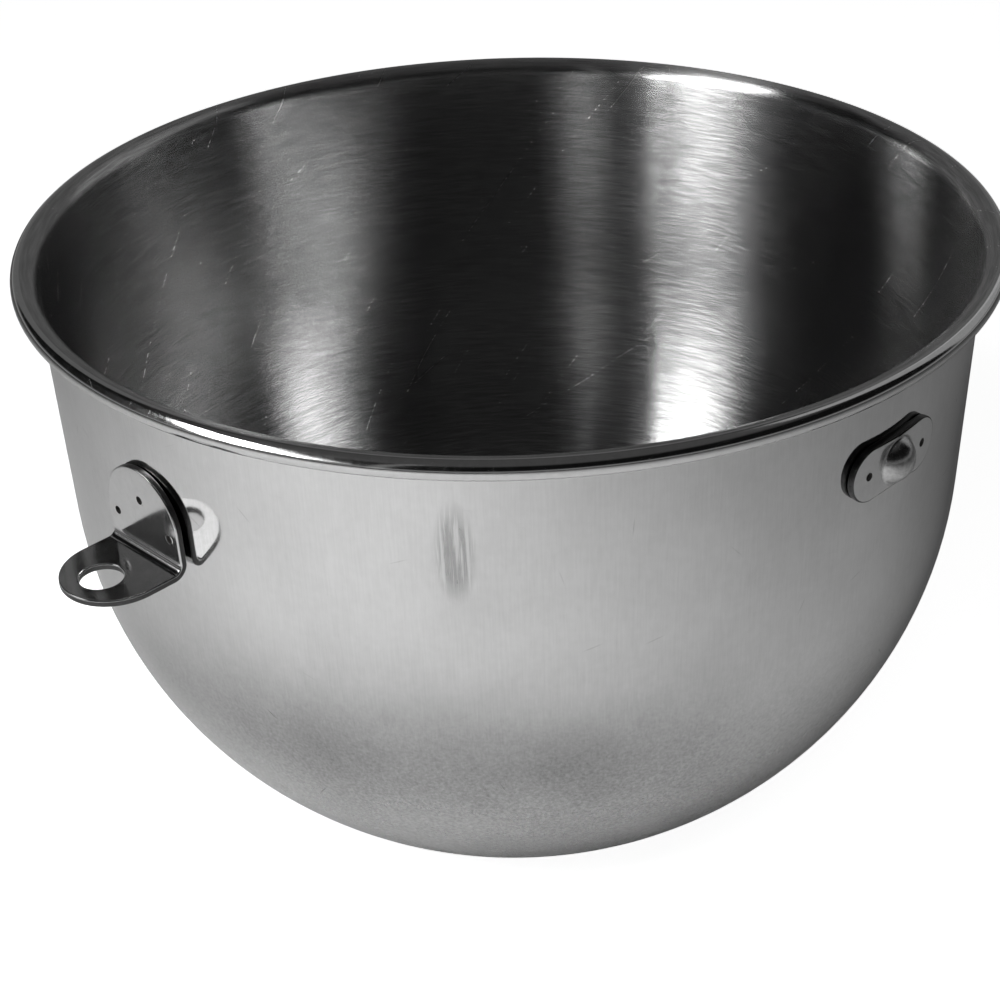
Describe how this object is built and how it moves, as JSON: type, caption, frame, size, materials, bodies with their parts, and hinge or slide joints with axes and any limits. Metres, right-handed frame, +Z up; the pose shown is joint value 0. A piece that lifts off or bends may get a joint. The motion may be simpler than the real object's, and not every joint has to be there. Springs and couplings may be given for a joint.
{
  "type": "stand mixer bowl",
  "caption": "Deep round steel mixing bowl for a bowl-lift stand mixer, with a rolled rim, side ears that hang it on pins and a domed catch plate at the rear.",
  "frame": {"origin": "centre of the flat base that the bowl stands on", "axes": "+Z up out of the bowl's mouth, +X to the right ear, +Y to the rear, where the catch plate is"},
  "size_m": [0.2674, 0.235, 0.153],
  "materials": {
    "drawn_steel": "polished outside, brushed round the inside",
    "plate_steel": "satin, punched and folded plate"
  },
  "bodies": {
    "root": {"bowl_shell": "drawn_steel", "right_ear": "plate_steel", "left_ear": "plate_steel", "catch_plate": "plate_steel"}
  },
  "joints": []
}
